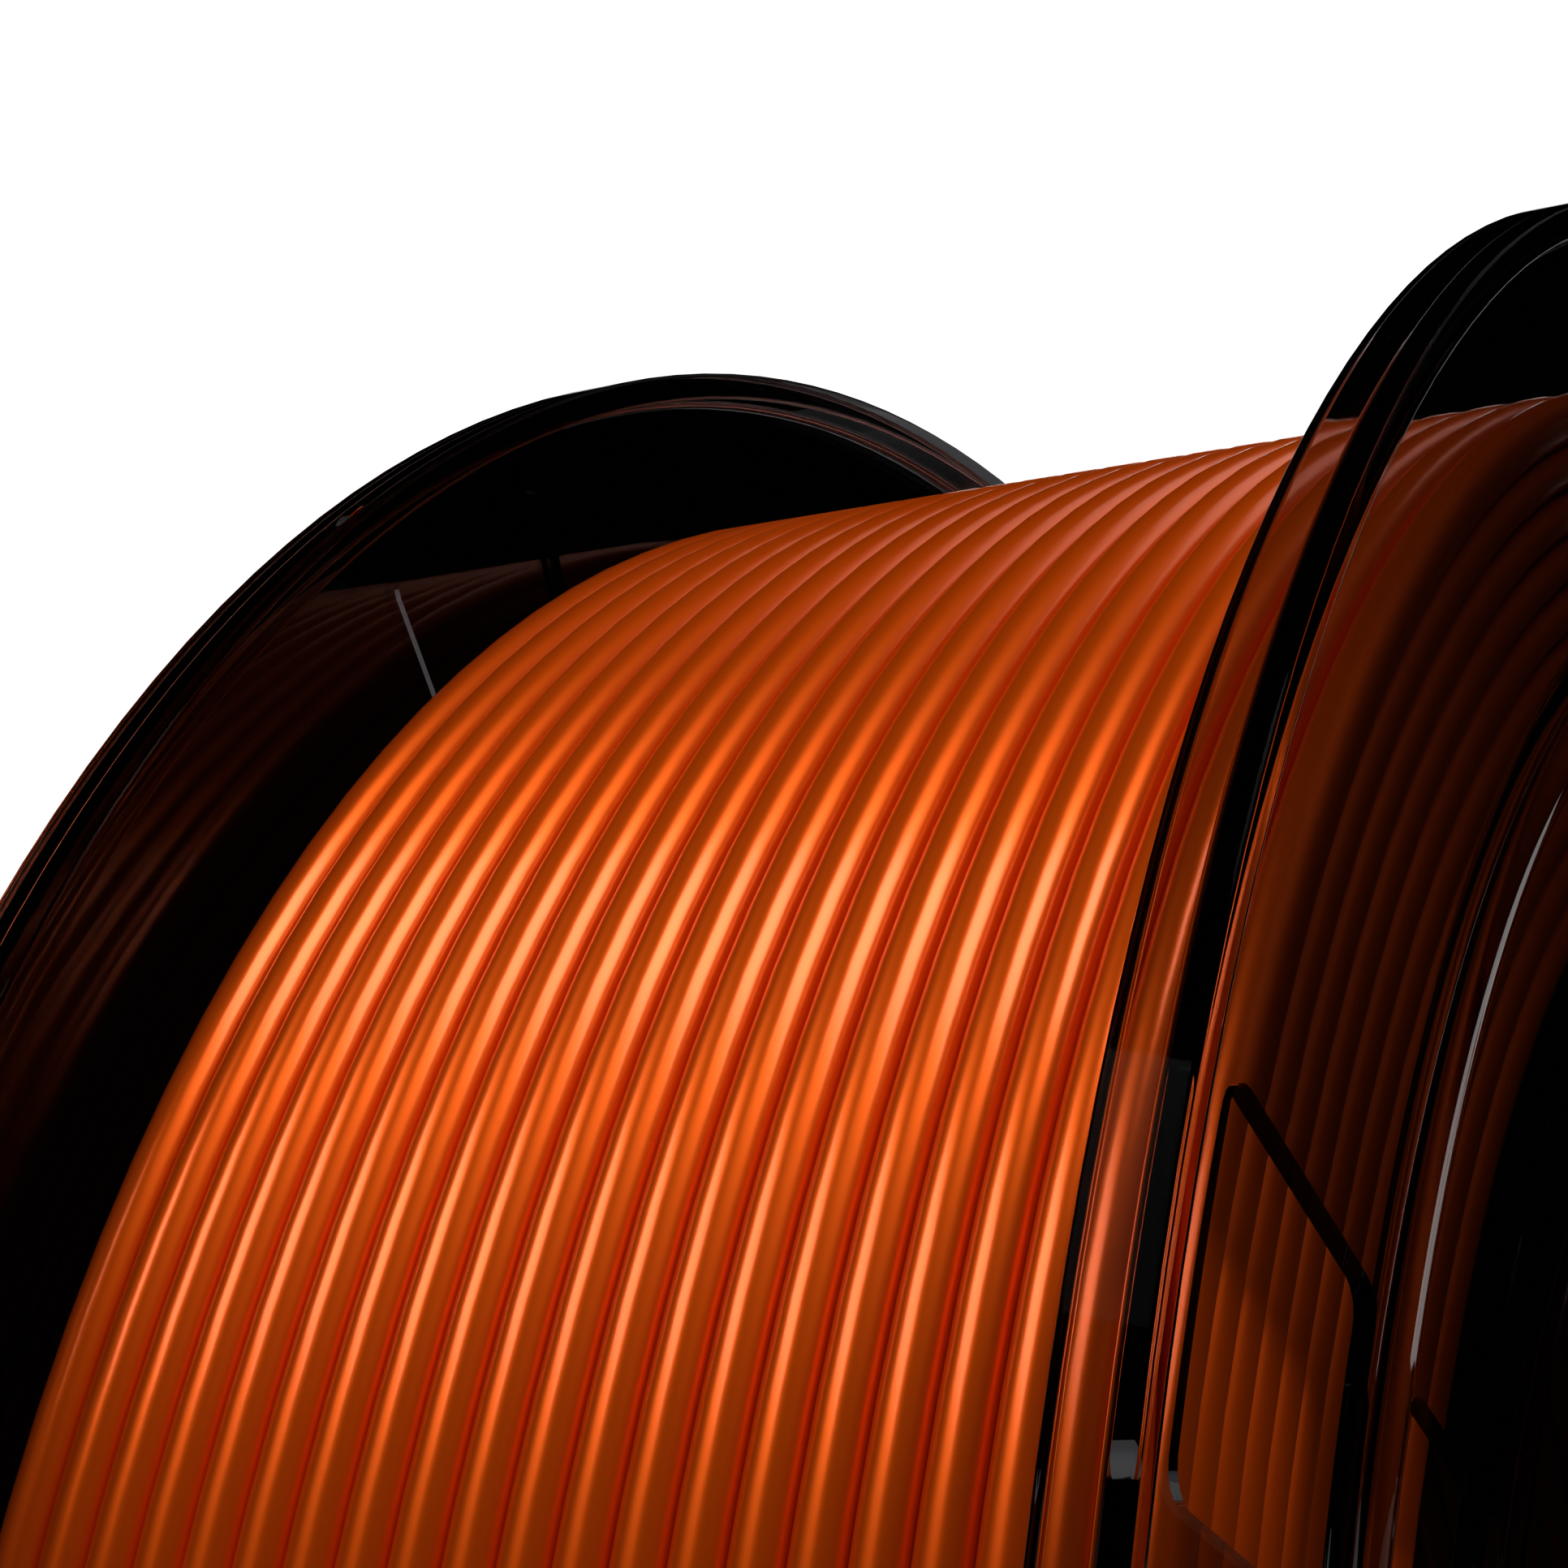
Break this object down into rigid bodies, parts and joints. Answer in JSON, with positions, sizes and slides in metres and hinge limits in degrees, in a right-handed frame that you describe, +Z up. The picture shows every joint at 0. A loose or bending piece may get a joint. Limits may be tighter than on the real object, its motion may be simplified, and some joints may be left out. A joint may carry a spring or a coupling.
{
  "type": "filament spool",
  "caption": "Smoked clear plastic spool with windowed flanges on a wide drum and hub tube, filled with orange 3-D printing filament in neat parallel turns.",
  "frame": {"origin": "middle of the spool, on its axis", "axes": "+Y along the spool's axis, out of the far flange; +Z up; the near flange faces -Y"},
  "size_m": [0.232, 0.0686, 0.232],
  "materials": {
    "smoked_plastic": "glossy, dark smoked, transparent",
    "filament": "semi-gloss, extruded"
  },
  "bodies": {
    "root": {"flange_near": "smoked_plastic", "flange_far": "smoked_plastic", "drum_tube": "smoked_plastic", "hub_tube": "smoked_plastic", "filament_layer_01": "filament", "filament_layer_02": "filament", "filament_layer_03": "filament", "filament_layer_04": "filament", "filament_layer_05": "filament", "filament_layer_06": "filament", "filament_layer_07": "filament", "filament_layer_08": "filament", "filament_layer_09": "filament", "filament_layer_10": "filament", "filament_layer_11": "filament"}
  },
  "joints": []
}
